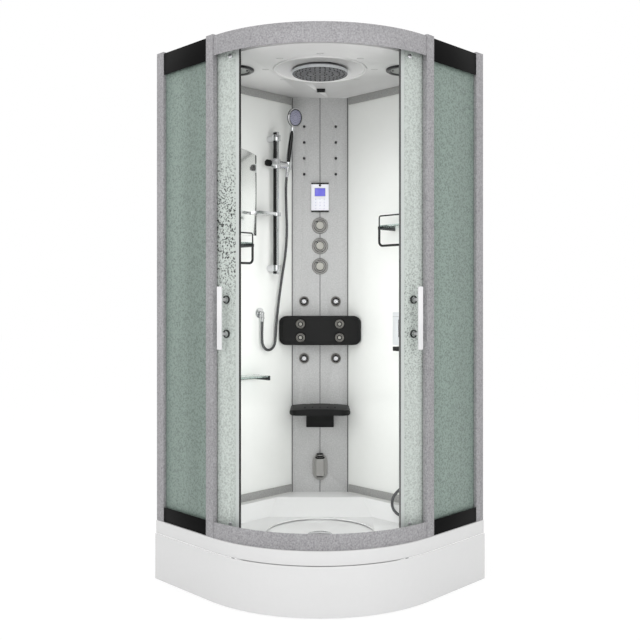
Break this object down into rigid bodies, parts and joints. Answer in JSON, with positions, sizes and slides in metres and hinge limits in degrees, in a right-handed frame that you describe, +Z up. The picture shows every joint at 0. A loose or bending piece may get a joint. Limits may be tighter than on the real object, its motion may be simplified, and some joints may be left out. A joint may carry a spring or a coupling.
{
  "type": "steam shower cabin",
  "caption": "Quarter-round corner steam shower cabin with sliding curved doors, column with jets and controls, folding seat, hand shower and shelves.",
  "frame": {"origin": "on the floor, under the middle of the bounding box", "axes": "+Z up, +Y into the corner of the room, +X to the right of a person who faces the doors"},
  "size_m": [1.2728, 1.045, 2.15],
  "materials": {
    "acrylic": "glossy white sanitary acrylic",
    "white_glass": "glossy white backed panel",
    "column_grey": "light grey, fine speckle",
    "silver_frame": "silver, fine speckled coat",
    "black_band": "black, satin",
    "frosted_glass": "grey-green frosted, speckled",
    "door_glass": "pale green, rain textured",
    "clear_glass": "clear shelf glass",
    "chrome": "polished chrome",
    "black_pad": "soft black foam skin",
    "black_plastic": "black moulded",
    "panel_white": "white fascia with black ends",
    "screen_blue": "blue-violet display",
    "mirror": "silvered glass",
    "seal_rubber": "black magnetic seal",
    "steel": "galvanised square tube",
    "pipe_plastic": "grey-white plastic",
    "hose_chrome": "flexible spiral metal hose"
  },
  "bodies": {
    "cabin": {"backrest_pad": "black_pad", "ceiling_panel": "acrylic", "column_panels": "column_grey", "control_panel": "panel_white", "control_screen": "screen_blue", "drain_cover": "chrome", "exhaust_fan": "black_plastic", "frame_uprights": "silver_frame", "glass_shelves": "clear_glass", "head_rail": "silver_frame", "hose_elbows": "chrome", "levelling_feet": "steel", "loop_hose": "hose_chrome", "pipework": "pipe_plastic", "rain_head": "chrome", "roof_lamps": "chrome", "roof_shell": "acrylic", "seat_bracket": "black_plastic", "shelf_fittings": "chrome", "shower_hose": "hose_chrome", "side_glass": "frosted_glass", "side_rails": "black_band", "sill_rail": "silver_frame", "slide_bar": "chrome", "soap_dispenser": "panel_white", "steam_generator": "steel", "steam_outlet": "chrome", "tray_apron": "acrylic", "tray_basin": "acrylic", "tray_frame": "steel", "valve_plates": "chrome", "wall_mirror": "mirror", "wall_panels": "white_glass", "wall_trims": "silver_frame", "water_jets": "chrome"},
    "door_left": {"door_glass_left": "door_glass", "door_seal_left": "seal_rubber", "door_handle_left": "chrome", "door_hangers_left": "steel"},
    "door_right": {"door_glass_right": "door_glass", "door_seal_right": "seal_rubber", "door_handle_right": "chrome", "door_hangers_right": "steel"},
    "slider": {"bar_slider": "chrome"},
    "slider_clamp": {"slider_knob": "black_plastic"},
    "handset": {"hand_shower": "chrome"},
    "dish": {"soap_dish": "chrome"},
    "knob_upper": {"valve_knob_upper": "chrome"},
    "knob_middle": {"valve_knob_middle": "chrome"},
    "knob_lower": {"valve_knob_lower": "chrome"},
    "seat": {"seat_pan": "black_plastic"},
    "dispenser_push": {"dispenser_lever": "black_plastic"},
    "wheel_left_lead": {"roller_left_lead": "black_plastic"},
    "wheel_left_tail": {"roller_left_tail": "black_plastic"},
    "nozzle_left_upper": {"jet_nozzle_left_upper": "chrome"},
    "nozzle_left_lower": {"jet_nozzle_left_lower": "chrome"},
    "wheel_right_lead": {"roller_right_lead": "black_plastic"},
    "wheel_right_tail": {"roller_right_tail": "black_plastic"},
    "nozzle_right_upper": {"jet_nozzle_right_upper": "chrome"},
    "nozzle_right_lower": {"jet_nozzle_right_lower": "chrome"}
  },
  "joints": [
    {"name": "door_left_travel", "type": "hinge", "parent": "cabin", "child": "door_left", "pos_m": [0.06009, 0.22061, 1.1], "axis": [0, 0, 1], "range_deg": [0, 24.6]},
    {"name": "wheel_left_lead_spin", "type": "hinge", "parent": "door_left", "child": "wheel_left_lead", "pos_m": [-0.32588, -0.38082, 1.9913], "axis": [-0.4863, -0.8738, 0], "range_deg": [-1354.6, 2]},
    {"name": "wheel_left_tail_spin", "type": "hinge", "parent": "door_left", "child": "wheel_left_tail", "pos_m": [-0.54484, -0.14311, 1.9913], "axis": [-0.9107, -0.4131, 0], "range_deg": [-1331.8, 2]},
    {"name": "door_right_travel", "type": "hinge", "parent": "cabin", "child": "door_right", "pos_m": [-0.06009, 0.22061, 1.1], "axis": [0, 0, -1], "range_deg": [0, 24.6]},
    {"name": "wheel_right_lead_spin", "type": "hinge", "parent": "door_right", "child": "wheel_right_lead", "pos_m": [0.32588, -0.38082, 1.9913], "axis": [0.4863, -0.8738, 0], "range_deg": [-2, 1354.6]},
    {"name": "wheel_right_tail_spin", "type": "hinge", "parent": "door_right", "child": "wheel_right_tail", "pos_m": [0.54484, -0.14311, 1.9913], "axis": [0.9107, -0.4131, 0], "range_deg": [-2, 1331.8]},
    {"name": "slider_height", "type": "slide", "parent": "cabin", "child": "slider", "axis": [0, 0, 1], "range_m": [-0.15, 0.055], "deforming": ["shower_hose"]},
    {"name": "slider_clamp_turn", "type": "hinge", "parent": "slider", "child": "slider_clamp", "pos_m": [-0.22274, 0.20075, 1.659], "axis": [-0.7071, -0.7071, 0], "range_deg": [-90, 90]},
    {"name": "handset_tilt", "type": "hinge", "parent": "slider", "child": "handset", "pos_m": [-0.1393, 0.28419, 1.659], "axis": [-0.7071, -0.7071, 0], "range_deg": [-25, 12]},
    {"name": "dish_height", "type": "slide", "parent": "cabin", "child": "dish", "axis": [0, 0, 1], "range_m": [-0.19, 0.03]},
    {"name": "knob_upper_turn", "type": "hinge", "parent": "cabin", "child": "knob_upper", "pos_m": [0, 0.36249, 1.406], "axis": [0, -1, 0], "range_deg": [-90, 90]},
    {"name": "knob_middle_turn", "type": "hinge", "parent": "cabin", "child": "knob_middle", "pos_m": [0, 0.36249, 1.316], "axis": [0, -1, 0], "range_deg": [-120, 120]},
    {"name": "knob_lower_turn", "type": "hinge", "parent": "cabin", "child": "knob_lower", "pos_m": [0, 0.36249, 1.226], "axis": [0, -1, 0], "range_deg": [-90, 30]},
    {"name": "seat_fold", "type": "hinge", "parent": "cabin", "child": "seat", "pos_m": [0, 0.34449, 0.606], "axis": [-1, 0, 0], "range_deg": [0, 90]},
    {"name": "nozzle_left_upper_tilt", "type": "hinge", "parent": "cabin", "child": "nozzle_left_upper", "pos_m": [-0.07, 0.36449, 1.071], "axis": [1, 0, 0], "range_deg": [-12, 12]},
    {"name": "nozzle_left_lower_tilt", "type": "hinge", "parent": "cabin", "child": "nozzle_left_lower", "pos_m": [-0.07, 0.36449, 0.819], "axis": [1, 0, 0], "range_deg": [-12, 12]},
    {"name": "nozzle_right_upper_tilt", "type": "hinge", "parent": "cabin", "child": "nozzle_right_upper", "pos_m": [0.07, 0.36449, 1.071], "axis": [1, 0, 0], "range_deg": [-12, 12]},
    {"name": "nozzle_right_lower_tilt", "type": "hinge", "parent": "cabin", "child": "nozzle_right_lower", "pos_m": [0.07, 0.36449, 0.819], "axis": [1, 0, 0], "range_deg": [-12, 12]},
    {"name": "dispenser_press", "type": "slide", "parent": "cabin", "child": "dispenser_push", "axis": [0.7071, 0.7071, 0], "range_m": [0, 0.006], "stiffness_N_per_m": 500, "springref_m": -0.001}
  ],
  "couplings": [
    {"joint": "wheel_left_lead_spin", "follows": "door_left_travel", "ratio": -54.862},
    {"joint": "wheel_left_tail_spin", "follows": "door_left_travel", "ratio": -53.935},
    {"joint": "wheel_right_lead_spin", "follows": "door_right_travel", "ratio": 54.862},
    {"joint": "wheel_right_tail_spin", "follows": "door_right_travel", "ratio": 53.935}
  ]
}
